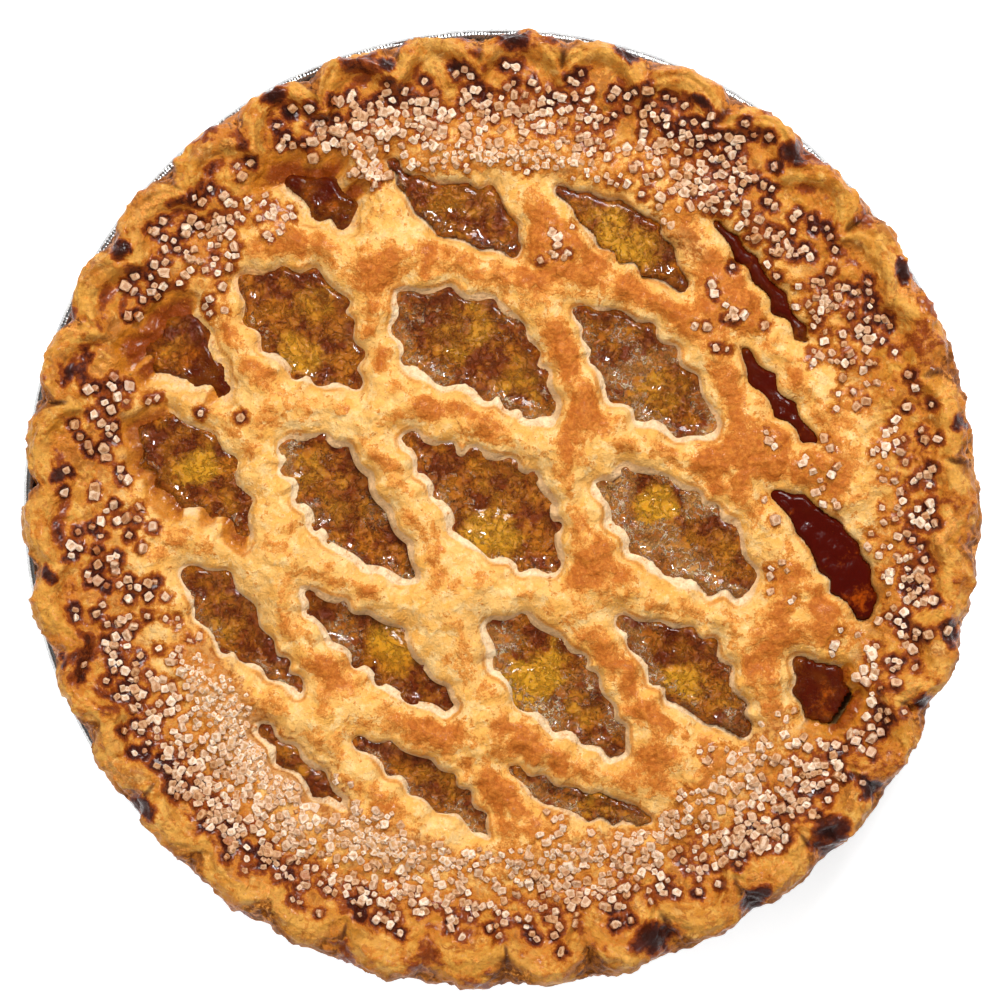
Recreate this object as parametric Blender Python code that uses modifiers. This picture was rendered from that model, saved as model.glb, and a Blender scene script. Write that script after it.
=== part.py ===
"""Lattice mango pie baked in its foil tin.

The tin, the bottom crust, the mango filling and the lattice crust are four solids.
The origin is the centre of the tin's underside, +Z is up, and lengths are in metres.
"""

import math
import random

import bmesh
import bpy
from mathutils import Vector
from mathutils.bvhtree import BVHTree

MM = 0.001

# Foil tin
TIN_BASE_RADIUS = 74 * MM
TIN_MOUTH_RADIUS = 91 * MM
TIN_HEIGHT = 30 * MM
TIN_WALL = 0.4 * MM
TIN_STEPS = 72
PLEAT_DEPTH = 1.2 * MM
BEAD_RADIUS = 1.2 * MM
BEAD_OUTER_RADIUS = 101 * MM

# Gap between solids that rest on one another
GAP = 0.3 * MM

# Pastry
CRUST_STEPS = 40
CRUST_THICKNESS = 3.6 * MM
BRIM_THICKNESS = 2.2 * MM
BRIM_RADIUS = 95.4 * MM
SHEET_THICKNESS = 3.2 * MM
SHEET_RADIUS = 82.5 * MM
SHEET_CENTRE_TOP = 39 * MM
SHEET_EDGE_TOP = 35.3 * MM

# Fluted rim
FLUTES = 34
FLUTE_START = 172.5
FLUTE_DRIFT = 1.4
FLUTE_DEPTH = 3.4 * MM
# Stretches where the flutes are pressed flatter: (middle in degrees, half width in degrees, share lost)
PRESSED = ((12, 16, 0.6), (-125, 28, 0.4))
STEPS_PER_FLUTE = 4
RIDGE_RADIUS = 95.2 * MM
RIDGE_TOP = 41.6 * MM
RIM_FOOT_RADIUS = 100.4 * MM
RIM_LEAN = 1.3 * MM
RIM_LEAN_ANGLE = -62

# Scalloped edges of the lattice holes
SCALLOP_PITCH = 7.2 * MM
SCALLOP_DEPTH = 0.9 * MM
STEPS_PER_SCALLOP = 3

# Filling
GEL_DROP = 2.6 * MM
CHUNK_SIZE = 19 * MM
CHUNK_TOP_GAP = 0.5 * MM
CHUNK_SEED = 11

# Sugar crystals
CRYSTALS = 88
CRYSTAL_SIZE = 2.4 * MM
CRYSTAL_SINK = 0.35
CRYSTAL_SEED = 5

# Outlines of the lattice holes, in millimetres, each going round from its tip at the upper left
HOLES_MM = (
    ((-46, 69), (-39, 69), (-32.5, 66), (-30, 62), (-31.5, 58.5), (-37.5, 59.5), (-42.5, 63.5)),
    ((-22.5, 72), (-17, 68.5), (-6, 67), (-0.5, 65), (2, 60.5), (3.5, 53.5), (-11.5, 57.5), (-18, 63.5)),
    ((13, 66.5), (21.5, 64.5), (30, 61.5), (35.5, 55), (39, 46), (30, 50), (21.5, 55.5), (16.5, 61.5)),
    ((44, 62), (50, 57), (56.5, 48.5), (63, 39), (65.5, 33.5), (62, 37), (55, 46), (49, 54.5)),
    ((-54, 47), (-45.5, 49), (-38, 47.5), (-33, 42), (-30, 26.5), (-40, 26.5), (-47.5, 32), (-51.5, 38)),
    ((-20, 43.5), (-7, 43.5), (1.5, 40), (6.5, 32.5), (11, 18.5), (-6, 25), (-13, 26.5), (-19.5, 32)),
    ((18, 40), (27.5, 39), (35, 33.5), (40.5, 26.5), (45.5, 16.5), (38.5, 15), (25, 22.5), (21, 30.5)),
    ((-74, 32.5), (-65.5, 40), (-62, 33.5), (-57.5, 24.5), (-62.5, 26), (-69, 27.5)),
    ((-75.5, 15.5), (-69, 18), (-59.5, 12.5), (-55.5, 5), (-52.5, -6.5), (-58, -2), (-67.5, 0.5), (-73.5, 8)),
    ((-45.5, 11.5), (-38, 13.5), (-31, 10), (-27.5, 3.5), (-17.5, -15), (-28.5, -12), (-35, -8), (-41, 0)),
    ((-19, 13.5), (-8, 10.5), (0.5, 9), (8, 4.5), (11.5, -3.5), (11, -14), (-4.5, -9), (-10.5, -1.5)),
    ((22.5, 3.5), (27.5, 6.5), (34, 5.5), (42.5, 0.5), (49.5, -6), (52.5, -18.5), (34.5, -13.5), (24, -2)),
    ((58.5, 2), (64, 1), (71, -3.5), (76.5, -10.5), (79.5, -19), (78.5, -24), (73, -20.5), (63, -4.5)),
    ((-66, -15), (-59.5, -15), (-53.5, -21), (-50, -28), (-42, -39.5), (-50.5, -34), (-58, -30.5), (-63, -23.5)),
    ((-40.5, -19), (-30.5, -23), (-22, -26.5), (-17.5, -33.5), (-9, -42.5), (-17, -42), (-26, -36.5), (-37.5, -26)),
    ((-2, -26), (4, -24.5), (12, -28.5), (20, -37.5), (27, -52.5), (14, -48), (5.5, -42.5), (0.5, -35)),
    ((26.5, -25), (33.5, -26), (41, -27.5), (46.5, -32.5), (52.5, -48), (43.5, -45), (36, -40), (30, -31.5)),
    ((63.5, -33.5), (71, -35), (74.5, -41.5), (72, -46.5), (66, -45), (63.5, -39.5)),
    ((-50.5, -47.5), (-46, -50), (-41, -54.5), (-35.5, -59), (-32.5, -63), (-38.5, -61.5), (-45, -56.5), (-49, -52)),
    ((-29.5, -50.5), (-21, -52), (-12.5, -56), (-6, -62.5), (-2, -70.5), (-9, -66), (-15.5, -63), (-21, -58)),
    ((3.5, -56.5), (10.5, -59), (18.5, -61.5), (26, -63.5), (32, -67.5), (17.5, -66), (9, -62.5)),
    ((52, 32.5), (56, 28.5), (61, 22), (67.5, 13), (63.5, 15), (57.5, 21.5), (53.5, 26.5)),
)


def clear_scene():
    for obj in list(bpy.data.objects):
        bpy.data.objects.remove(obj)


def new_collection(name):
    collection = bpy.data.collections.new(name)
    bpy.context.scene.collection.children.link(collection)
    return collection


def new_material(name, color, roughness, metallic=0.0):
    material = bpy.data.materials.new(name)
    material.use_nodes = True
    shader = material.node_tree.nodes["Principled BSDF"]
    shader.inputs["Base Color"].default_value = (*color, 1)
    shader.inputs["Roughness"].default_value = roughness
    shader.inputs["Metallic"].default_value = metallic
    return material


def foil_material():
    return new_material("foil", (0.78, 0.78, 0.80), 0.3, 1.0)


def pastry_material():
    return new_material("pastry", (0.76, 0.37, 0.09), 0.55)


def bottom_pastry_material():
    return new_material("bottom_pastry", (0.70, 0.36, 0.12), 0.6)


def filling_material():
    return new_material("mango_filling", (0.48, 0.17, 0.01), 0.2)


def new_object(name, mesh, collection):
    obj = bpy.data.objects.new(name, mesh)
    collection.objects.link(obj)
    return obj


def evaluated_mesh(obj):
    graph = bpy.context.evaluated_depsgraph_get()
    return bpy.data.meshes.new_from_object(obj.evaluated_get(graph))


def turned_ring(name, profile, steps, collection):
    """A closed solid turned from a profile of (radius, height) points, as a mesh with no modifiers.

    The profile runs outwards over the top and back inwards underneath.
    """
    mesh = bpy.data.meshes.new(name)
    points = [(radius, 0, height) for radius, height in profile]
    edges = [(i, i + 1) for i in range(len(points) - 1)]
    if profile[0][0] > 0:
        edges.append((len(points) - 1, 0))
    mesh.from_pydata(points, edges, [])
    obj = new_object(name, mesh, collection)
    screw = obj.modifiers.new("turn", "SCREW")
    screw.steps = steps
    screw.render_steps = steps
    screw.use_merge_vertices = True
    screw.merge_threshold = 0.00001
    screw.use_normal_calculate = True
    obj.data = evaluated_mesh(obj)
    obj.modifiers.clear()
    return obj


def smooth_shaded(obj, material):
    obj.data.materials.clear()
    obj.data.materials.append(material)
    obj.data.shade_smooth()
    obj.data.set_sharp_from_angle(angle=math.radians(40))


# Foil tin


def tin_profile():
    """Up the inside, round the rolled bead, and down the outside."""
    flange = TIN_HEIGHT
    bead_x = BEAD_OUTER_RADIUS - BEAD_RADIUS
    bead_z = flange - TIN_WALL
    inside = [
        (0, TIN_WALL),
        (TIN_BASE_RADIUS - 3 * MM, TIN_WALL),
        (TIN_BASE_RADIUS, 1.8 * MM),
        (TIN_MOUTH_RADIUS - 0.6 * MM, flange - 2 * MM),
        (TIN_MOUTH_RADIUS + 0.8 * MM, flange),
    ]
    bead = []
    for degrees in (140, 75, 10, -55, -130):
        angle = math.radians(degrees)
        x = bead_x + BEAD_RADIUS * math.cos(angle)
        bead.append((x, bead_z + BEAD_RADIUS * math.sin(angle)))
    outside = [
        (bead_x - BEAD_RADIUS * 0.9, flange - TIN_WALL),
        (TIN_MOUTH_RADIUS + 1.2 * MM, flange - TIN_WALL),
        (TIN_MOUTH_RADIUS, flange - 2.2 * MM),
        (TIN_BASE_RADIUS + 0.4 * MM, 1.4 * MM),
        (TIN_BASE_RADIUS - 2.6 * MM, 0),
        (0, 0),
    ]
    return inside + bead + outside


def pleat_wall(obj):
    """Every other column of the flared wall stands out by the pleats' depth."""
    for vertex in obj.data.vertices:
        radius = math.hypot(vertex.co.x, vertex.co.y)
        on_wall = TIN_BASE_RADIUS < radius + 0.5 * MM and radius < TIN_MOUTH_RADIUS + 0.5 * MM
        column = round(math.atan2(vertex.co.y, vertex.co.x) / math.tau * TIN_STEPS)
        if on_wall and 1 * MM < vertex.co.z < TIN_HEIGHT - 1 * MM and column % 2:
            vertex.co.x *= 1 + PLEAT_DEPTH / radius
            vertex.co.y *= 1 + PLEAT_DEPTH / radius


def make_tin(parts):
    tin = turned_ring("foil_tin", tin_profile(), TIN_STEPS, parts)
    pleat_wall(tin)
    smooth_shaded(tin, foil_material())
    return tin


# Bottom crust and filling


def wall_radius(height):
    """The tin's inner radius at a height on its flared wall."""
    share = (height - 1.8 * MM) / (TIN_HEIGHT - 3.8 * MM)
    return TIN_BASE_RADIUS + share * (TIN_MOUTH_RADIUS - 0.6 * MM - TIN_BASE_RADIUS)


def make_bottom_crust(parts):
    """A pastry shell that lines the tin, with a brim on the tin's flange."""
    low = TIN_WALL + GAP
    brim = TIN_HEIGHT + GAP
    bend = brim - 2 * MM
    inner = wall_radius(bend) - CRUST_THICKNESS - GAP
    profile = [
        (0, low + CRUST_THICKNESS),
        (TIN_BASE_RADIUS - CRUST_THICKNESS - 2 * MM, low + CRUST_THICKNESS),
        (wall_radius(8 * MM) - CRUST_THICKNESS - GAP, 8 * MM),
        (inner, bend),
        (inner + 1.2 * MM, brim + BRIM_THICKNESS),
        (BRIM_RADIUS - 0.6 * MM, brim + BRIM_THICKNESS),
        (BRIM_RADIUS, brim + BRIM_THICKNESS / 2),
        (BRIM_RADIUS - 0.3 * MM, brim),
        (TIN_MOUTH_RADIUS + 0.2 * MM, brim),
        (wall_radius(bend - 0.8 * MM) - GAP, bend - 0.8 * MM),
        (TIN_BASE_RADIUS - GAP, 2.4 * MM),
        (TIN_BASE_RADIUS - 3.4 * MM, low),
        (0, low),
    ]
    crust = turned_ring("bottom_crust", profile, CRUST_STEPS, parts)
    smooth_shaded(crust, bottom_pastry_material())
    return crust


def sheet_top(radius):
    """Height of the lattice sheet's domed top."""
    share = min(radius / SHEET_RADIUS, 1.0)
    return SHEET_CENTRE_TOP - (SHEET_CENTRE_TOP - SHEET_EDGE_TOP) * share**2


def sheet_underside(radius):
    return sheet_top(radius) - SHEET_THICKNESS


def make_chunk(centre, rng, cutters):
    """A block of mango with bevelled edges, turned and tilted a little, its top just below the lattice."""
    size = CHUNK_SIZE * rng.uniform(0.75, 1.1)
    mesh = bpy.data.meshes.new("chunk")
    shape = bmesh.new()
    bmesh.ops.create_cube(shape, size=size)
    bmesh.ops.bevel(shape, geom=shape.edges[:], offset=size * 0.2, segments=1, affect="EDGES")
    shape.to_mesh(mesh)
    shape.free()
    chunk = new_object("chunk", mesh, cutters)
    chunk.rotation_euler = (rng.uniform(-0.25, 0.25), rng.uniform(-0.25, 0.25), rng.uniform(0, math.pi))
    chunk.location = (*centre, 0)
    bpy.context.view_layer.update()
    corners = [chunk.matrix_world @ vertex.co for vertex in mesh.vertices]
    room = min(sheet_underside(math.hypot(corner.x, corner.y)) - corner.z for corner in corners)
    chunk.location.z = room - CHUNK_TOP_GAP - rng.uniform(0, 0.8) * MM
    return chunk


def make_filling(parts):
    """Mango gel up to just below the lattice, with a chunk of mango showing in each large hole."""
    rng = random.Random(CHUNK_SEED)
    floor = TIN_WALL + CRUST_THICKNESS + 2 * GAP
    edge = wall_radius(28.6 * MM) - CRUST_THICKNESS - 2 * GAP - 0.2 * MM
    profile = [(0, sheet_underside(0) - GEL_DROP)]
    for share in (0.3, 0.6, 0.85):
        radius = share * SHEET_RADIUS
        profile.append((radius, sheet_underside(radius) - GEL_DROP))
    profile += [
        (edge - 2 * MM, sheet_underside(SHEET_RADIUS) - 2.2 * MM),
        (edge - 0.6 * MM, 28.0 * MM),
        (wall_radius(8 * MM) - CRUST_THICKNESS - 2 * GAP - 0.2 * MM, 8 * MM),
        (TIN_BASE_RADIUS - CRUST_THICKNESS - 2.6 * MM, floor),
        (0, floor),
    ]
    filling = turned_ring("mango_filling", profile, CRUST_STEPS, parts)
    chunks = new_collection("chunks")
    for outline in HOLES_MM:
        centre = sum((Vector(point) for point in outline), Vector((0, 0))) / len(outline) * MM
        if centre.length < 66 * MM:
            make_chunk(centre, rng, chunks)
    join_all(filling, chunks)
    smooth_shaded(filling, filling_material())
    return filling


# Lattice crust


def boolean(obj, collection, operation):
    """Joins to or cuts from an object everything in a collection, which is then removed."""
    modifier = obj.modifiers.new(operation.lower(), "BOOLEAN")
    modifier.operation = operation
    modifier.operand_type = "COLLECTION"
    modifier.collection = collection
    modifier.solver = "EXACT"
    obj.data = evaluated_mesh(obj)
    obj.modifiers.clear()
    for other in list(collection.objects):
        bpy.data.objects.remove(other)
    bpy.data.collections.remove(collection)


def join_all(obj, collection):
    boolean(obj, collection, "UNION")


def make_sheet(parts):
    """The domed pastry sheet of the lattice, before its holes are cut."""
    rings = (0, 0.25, 0.5, 0.75, 1)
    top = [(share * SHEET_RADIUS, sheet_top(share * SHEET_RADIUS)) for share in rings]
    bottom = [(radius, height - SHEET_THICKNESS) for radius, height in reversed(top)]
    return turned_ring("lattice_crust", top + bottom, CRUST_STEPS, parts)


def flute_wave(angle):
    """From -1 at a flute's sharp inner fold to 1 at its rounded outer lobe, and less where it is pressed."""
    degrees = math.degrees(angle)
    drift = FLUTE_DRIFT * (1 + math.cos(angle + math.radians(30)))
    phase = math.pi * (degrees - FLUTE_START + drift) * FLUTES / 360
    strength = 1.0
    for middle, width, lost in PRESSED:
        strength -= lost * math.exp(-(((degrees - middle) / width) ** 2))
    return strength * (2 * abs(math.cos(phase)) ** 0.8 - 1)


def foot_radius(angle):
    """The rim's outer edge, which lies off the tin's centre and swells at each lobe."""
    lean = RIM_LEAN * math.cos(angle - math.radians(RIM_LEAN_ANGLE))
    return RIM_FOOT_RADIUS + lean + 0.5 * MM * flute_wave(angle) + 0.4 * MM * math.sin(3 * angle + 1)


def rim_profile():
    """(radius, height, share of the flute's swing, share of the foot's swing), inside to outside and back."""
    return [
        (78.5 * MM, 33.8 * MM, 0, 0),
        (81.8 * MM, 35.8 * MM, 0, 0),
        (86.5 * MM, 36.1 * MM, 0.3, 0),
        (RIDGE_RADIUS - 4.6 * MM, 37.6 * MM, 0.9, 0),
        (RIDGE_RADIUS - 2.4 * MM, RIDGE_TOP - 1 * MM, 1, 0),
        (RIDGE_RADIUS, RIDGE_TOP, 1, 0),
        (RIDGE_RADIUS + 2.2 * MM, RIDGE_TOP - 1.4 * MM, 1, 0.3),
        (RIM_FOOT_RADIUS - 0.9 * MM, 36.2 * MM, 0.35, 1),
        (RIM_FOOT_RADIUS, 31.9 * MM, 0, 1),
        (BRIM_RADIUS + 1.2 * MM, TIN_HEIGHT + 2 * GAP + BEAD_RADIUS, 0, 0),
        (BRIM_RADIUS + 0.6 * MM, TIN_HEIGHT + 2 * GAP + BRIM_THICKNESS, 0, 0),
        (87 * MM, TIN_HEIGHT + 2 * GAP + BRIM_THICKNESS + 0.1 * MM, 0, 0),
        (81.5 * MM, 31.8 * MM, 0, 0),
    ]


def make_rim(collection):
    """A turned ring whose columns swing in and out with the flutes."""
    profile = rim_profile()
    columns = FLUTES * STEPS_PER_FLUTE
    rim = turned_ring("rim", [(radius, height) for radius, height, _, _ in profile], columns, collection)
    for vertex in rim.data.vertices:
        radius = math.hypot(vertex.co.x, vertex.co.y)
        angle = math.atan2(vertex.co.y, vertex.co.x)
        nearest = min(profile, key=lambda p: (p[0] - radius) ** 2 + (p[1] - vertex.co.z) ** 2)
        swing = nearest[2] * FLUTE_DEPTH * flute_wave(angle)
        swing += nearest[3] * (foot_radius(angle) - RIM_FOOT_RADIUS)
        vertex.co.x += swing * math.cos(angle)
        vertex.co.y += swing * math.sin(angle)
    return rim


def smooth_loop(points, pitch, steps):
    """Evenly spaced points, so many steps to each whole pitch, along a closed Catmull-Rom curve."""
    count = len(points)
    dense = []
    for i in range(count):
        a, b, c, d = (points[(i + k) % count] for k in (-1, 0, 1, 2))
        for step in range(8):
            t = step / 8
            dense.append(
                0.5 * (2 * b + (c - a) * t + (2 * a - 5 * b + 4 * c - d) * t**2 + (3 * b - a - 3 * c + d) * t**3)
            )
    lengths = [(dense[i] - dense[i - 1]).length for i in range(len(dense))]
    total = sum(lengths)
    wanted = steps * max(3, round(total / pitch))
    loop = []
    walked = 0.0
    for i, length in enumerate(lengths):
        while len(loop) < wanted and walked + length >= total * len(loop) / wanted:
            share = (total * len(loop) / wanted - walked) / length
            loop.append(dense[i - 1].lerp(dense[i], share))
        walked += length
    return loop


def scalloped(points):
    """A hole's outline in rounded bumps of pastry, with a notch between one bump and the next."""
    loop = smooth_loop([Vector(point) * MM for point in points], SCALLOP_PITCH, STEPS_PER_SCALLOP)
    count = len(loop)
    outline = []
    for i, point in enumerate(loop):
        along = (loop[(i + 1) % count] - loop[i - 1]).normalized()
        outwards = Vector((-along.y, along.x))
        share = -0.35 if i % STEPS_PER_SCALLOP else 0.65
        outline.append(point + share * SCALLOP_DEPTH * outwards)
    return outline


def make_hole_cutter(points, collection):
    """An upright prism with the outline of one hole."""
    curve = bpy.data.curves.new("hole", "CURVE")
    curve.dimensions = "2D"
    curve.fill_mode = "BOTH"
    curve.extrude = 8 * MM
    outline = scalloped(points)
    spline = curve.splines.new("POLY")
    spline.points.add(len(outline) - 1)
    for point, place in zip(spline.points, outline):
        point.co = (place.x, place.y, 0, 1)
    spline.use_cyclic_u = True
    guide = new_object("hole_curve", curve, collection)
    guide.location.z = 35 * MM
    bpy.context.view_layer.update()
    cutter = new_object("hole", evaluated_mesh(guide), collection)
    cutter.matrix_world = guide.matrix_world
    bpy.data.objects.remove(guide)
    shape = bmesh.new()
    shape.from_mesh(cutter.data)
    bmesh.ops.remove_doubles(shape, verts=shape.verts[:], dist=0.000001)
    bmesh.ops.recalc_face_normals(shape, faces=shape.faces[:])
    shape.to_mesh(cutter.data)
    shape.free()
    cutter.hide_render = True
    cutter.display_type = "WIRE"
    return cutter


def sugar_share(angle):
    """How thickly the sugar lies in a direction: most at the lower left, the top and the lower right."""
    degrees = math.degrees(angle)
    piles = ((-130, 35, 1.0), (95, 40, 0.8), (-48, 38, 0.75), (42, 22, 0.5), (0, 25, 0.25), (172, 30, 0.15))
    share = 0
    for middle, width, amount in piles:
        away = (degrees - middle + 180) % 360 - 180
        share += amount * math.exp(-((away / width) ** 2))
    return min(share, 1)


def make_crystal(place, normal, rng, collection):
    """One cube of coarse sugar, sunk a little into the pastry."""
    size = CRYSTAL_SIZE * rng.uniform(0.85, 1.15)
    mesh = bpy.data.meshes.new("crystal")
    shape = bmesh.new()
    bmesh.ops.create_cube(shape, size=size)
    shape.to_mesh(mesh)
    shape.free()
    crystal = new_object("crystal", mesh, collection)
    crystal.scale = (rng.uniform(0.85, 1.1), rng.uniform(0.85, 1.1), rng.uniform(0.8, 1))
    crystal.rotation_euler = (rng.uniform(-0.2, 0.2), rng.uniform(-0.2, 0.2), rng.uniform(0, math.pi))
    crystal.location = place + normal * size * (0.5 - CRYSTAL_SINK)
    bpy.context.view_layer.update()


def scatter_crystals(crust, collection):
    """Crystals on the slope inside the rim, clear of the holes and of one another."""
    rng = random.Random(CRYSTAL_SEED)
    shape = bmesh.new()
    shape.from_mesh(crust.data)
    tree = BVHTree.FromBMesh(shape)
    shape.free()
    placed = []
    while len(placed) < CRYSTALS:
        angle = rng.uniform(-math.pi, math.pi)
        radius = rng.triangular(70, 94, 84) * MM
        if rng.random() > sugar_share(angle):
            continue
        spot = Vector((radius * math.cos(angle), radius * math.sin(angle), 60 * MM))
        if any((spot.xy - other).length < 1.9 * CRYSTAL_SIZE for other in placed):
            continue
        around = [Vector((math.cos(k), math.sin(k), 0)) * CRYSTAL_SIZE for k in (0, 1.57, 3.14, 4.71)]
        hits = [tree.ray_cast(spot + offset, Vector((0, 0, -1)), 27 * MM)[0] for offset in around]
        place, normal, _, _ = tree.ray_cast(spot, Vector((0, 0, -1)), 27 * MM)
        if place is None or None in hits or max(abs(hit.z - place.z) for hit in hits) > 1.6 * MM:
            continue
        placed.append(spot.xy)
        make_crystal(place, normal, rng, collection)


def make_lattice_crust(parts):
    crust = make_sheet(parts)
    rim = new_collection("rim")
    make_rim(rim)
    join_all(crust, rim)
    cutters = new_collection("hole_cutters")
    for outline in HOLES_MM:
        make_hole_cutter(outline, cutters)
    boolean(crust, cutters, "DIFFERENCE")
    crystals = new_collection("crystals")
    scatter_crystals(crust, crystals)
    join_all(crust, crystals)
    smooth_shaded(crust, pastry_material())
    return crust


def main():
    clear_scene()
    parts = new_collection("mango_pie")
    make_tin(parts)
    make_bottom_crust(parts)
    make_filling(parts)
    make_lattice_crust(parts)


main()
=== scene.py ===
"""The looks of the lattice mango pie in its foil tin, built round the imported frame.

Shapes are worked out in millimetres and turned into metres when a mesh is made.
"""

from collections import namedtuple
from math import ceil, cos, pi, radians, sin, tau

import bmesh
import bpy
import numpy as np
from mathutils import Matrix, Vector
from mathutils.bvhtree import BVHTree
from mathutils.geometry import delaunay_2d_cdt


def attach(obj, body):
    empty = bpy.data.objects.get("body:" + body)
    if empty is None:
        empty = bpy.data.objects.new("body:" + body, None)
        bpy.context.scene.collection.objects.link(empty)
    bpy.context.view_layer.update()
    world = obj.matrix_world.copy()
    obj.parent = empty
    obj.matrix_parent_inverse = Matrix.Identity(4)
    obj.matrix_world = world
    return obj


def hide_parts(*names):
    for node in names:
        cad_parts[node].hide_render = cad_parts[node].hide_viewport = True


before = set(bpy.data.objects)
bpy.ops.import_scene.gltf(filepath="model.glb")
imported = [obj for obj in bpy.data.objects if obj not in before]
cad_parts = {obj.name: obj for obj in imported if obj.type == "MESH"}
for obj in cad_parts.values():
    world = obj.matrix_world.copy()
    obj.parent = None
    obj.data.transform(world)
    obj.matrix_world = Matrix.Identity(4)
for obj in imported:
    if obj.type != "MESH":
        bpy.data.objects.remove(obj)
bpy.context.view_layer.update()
MM = 0.001

# Foil tin
TIN_BASE_RADIUS = 74
TIN_MOUTH_RADIUS = 91
TIN_HEIGHT = 30
TIN_WALL = 0.4
BEAD_RADIUS = 1.2
BEAD_OUTER_RADIUS = 101
RIBS = 108

# Pastry
SHEET_THICKNESS = 3.2
SHEET_RADIUS = 82.5
SHEET_CENTRE_TOP = 39
SHEET_EDGE_TOP = 35.3
SEAM_RADIUS = 86
GRID = 0.45

# Fluted rim
FLUTES = 34
FLUTE_START = 172.5
FLUTE_DRIFT = 1.4
FLUTE_DEPTH = 3.4
PRESSED = ((12, 16, 0.6), (-125, 28, 0.4))
RIDGE_RADIUS = 95.2
RIDGE_TOP = 41.0
RIDGE_HALF_WIDTH = 3.1
POCKET_RISE = 2.2
RIM_FOOT_RADIUS = 100.2
RIM_LEAN = 1.6
RIM_LEAN_ANGLE = -62

# Scalloped edges of the lattice holes
SCALLOP_PITCH = 7.2
SCALLOP_DEPTH = 1.1

# Filling
GEL_DROP = 2.6
FILLING_RADIUS = 84.6

# Sugar crystals
CRYSTAL_SIZE = 2.15

# Lattice holes: the width of the cut wall, the shares of jam, foam and glazed wall, and the
# outline's x and y in turn, from the tip at the upper left
HOLES = (
    (2.4, 0.72, 0, 1, (-44, 68.5, -38.5, 69, -34, 66.7, -31.2, 63, -32, 59.6, -36, 60.8, -40.5, 63.8)),
    (0.9, 0.1, 0.1, 0.25, (-22.5, 72, -17, 68.5, -6, 67, -0.5, 65, 2, 60.5, 3.5, 53.5, -11.5, 57.5, -18, 63.5)),
    (0.8, 0.25, 0, 0.2, (13, 66.5, 21.5, 64.5, 30, 61.5, 35.5, 55, 39, 46, 30, 50, 21.5, 55.5, 16.5, 61.5)),
    (0.4, 0.95, 0, 0.6, (46, 59.5, 51.3, 55, 57, 47.8, 62.6, 40, 65.4, 34.2, 61.6, 38.2, 55.6, 46.2, 50, 53.6)),
    (1.2, 0.2, 0.05, 0.3, (-54, 47, -45.5, 49, -38, 47.5, -33, 42, -30, 26.5, -40, 26.5, -47.5, 32, -51.5, 38)),
    (1.9, 0, 0.45, 0, (-20, 43.5, -7, 43.5, 1.5, 40, 6.5, 32.5, 11, 18.5, -6, 25, -13, 26.5, -19.5, 32)),
    (1.5, 0.05, 0.8, 0, (18, 40, 27.5, 39, 35, 33.5, 40.5, 26.5, 45.5, 16.5, 38.5, 15, 25, 22.5, 21, 30.5)),
    (2.4, 0.62, 0, 1, (-74, 32.5, -65.5, 40, -62, 33.5, -57.5, 24.5, -62.5, 26, -69, 27.5)),
    (1.5, 0.35, 0.1, 0.85,
     (-75.5, 15.5, -69, 18, -59.5, 12.5, -55.5, 5, -52.5, -6.5, -58, -2, -67.5, 0.5, -73.5, 8)),
    (1.6, 0.12, 0.6, 0, (-45.5, 11.5, -38, 13.5, -31, 10, -27.5, 3.5, -17.5, -15, -28.5, -12, -35, -8, -41, 0)),
    (1.6, 0.1, 0.35, 0, (-19, 13.5, -8, 10.5, 0.5, 9, 8, 4.5, 11.5, -3.5, 11, -14, -4.5, -9, -10.5, -1.5)),
    (1.9, 0, 1, 0, (22.5, 3.5, 27.5, 6.5, 34, 5.5, 42.5, 0.5, 49.5, -6, 52.5, -18.5, 34.5, -13.5, 24, -2)),
    (0.6, 1, 0, 0.4, (58.5, 2, 64, 1, 71, -3.5, 76.5, -10.5, 79.5, -19, 78.5, -24, 73, -20.5, 63, -4.5)),
    (1.3, 0.15, 0.35, 0.1,
     (-66, -15, -59.5, -15, -53.5, -21, -50, -28, -42, -39.5, -50.5, -34, -58, -30.5, -63, -23.5)),
    (1.3, 0.4, 0.5, 0,
     (-40.5, -19, -30.5, -23, -22, -26.5, -17.5, -33.5, -9, -42.5, -17, -42, -26, -36.5, -37.5, -26)),
    (1.6, 0.1, 0.7, 0, (-2, -26, 4, -24.5, 12, -28.5, 20, -37.5, 27, -52.5, 14, -48, 5.5, -42.5, 0.5, -35)),
    (1.4, 0.3, 0.6, 0,
     (26.5, -25, 33.5, -26, 41, -27.5, 46.5, -32.5, 52.5, -48, 43.5, -45, 36, -40, 30, -31.5)),
    (1.4, 0.75, 0, 0.9, (63.5, -33.5, 71, -35, 74.5, -41.5, 72, -46.5, 66, -45, 63.5, -39.5)),
    (1.6, 0, 0, 0.15,
     (-49.5, -48, -45.5, -51, -40.5, -55.5, -35.8, -60, -33.5, -63.2, -38.5, -60.6, -44, -55.5, -47.8, -51.5)),
    (0.8, 0.15, 0.5, 0.1,
     (-29.5, -50.5, -21, -52, -12.5, -56, -6, -62.5, -2, -70.5, -9, -66, -15.5, -63, -21, -58)),
    (0.8, 0, 0.5, 0.2, (3.5, -56.5, 10.5, -59, 18.5, -61.5, 26, -63.5, 32, -67.5, 17.5, -66, 9, -62.5)),
    (0.4, 0.95, 0, 0.4, (52, 32.5, 56, 28.5, 61, 22, 67.5, 13, 63.5, 15, 57.5, 21.5, 53.5, 26.5)),
)

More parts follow.
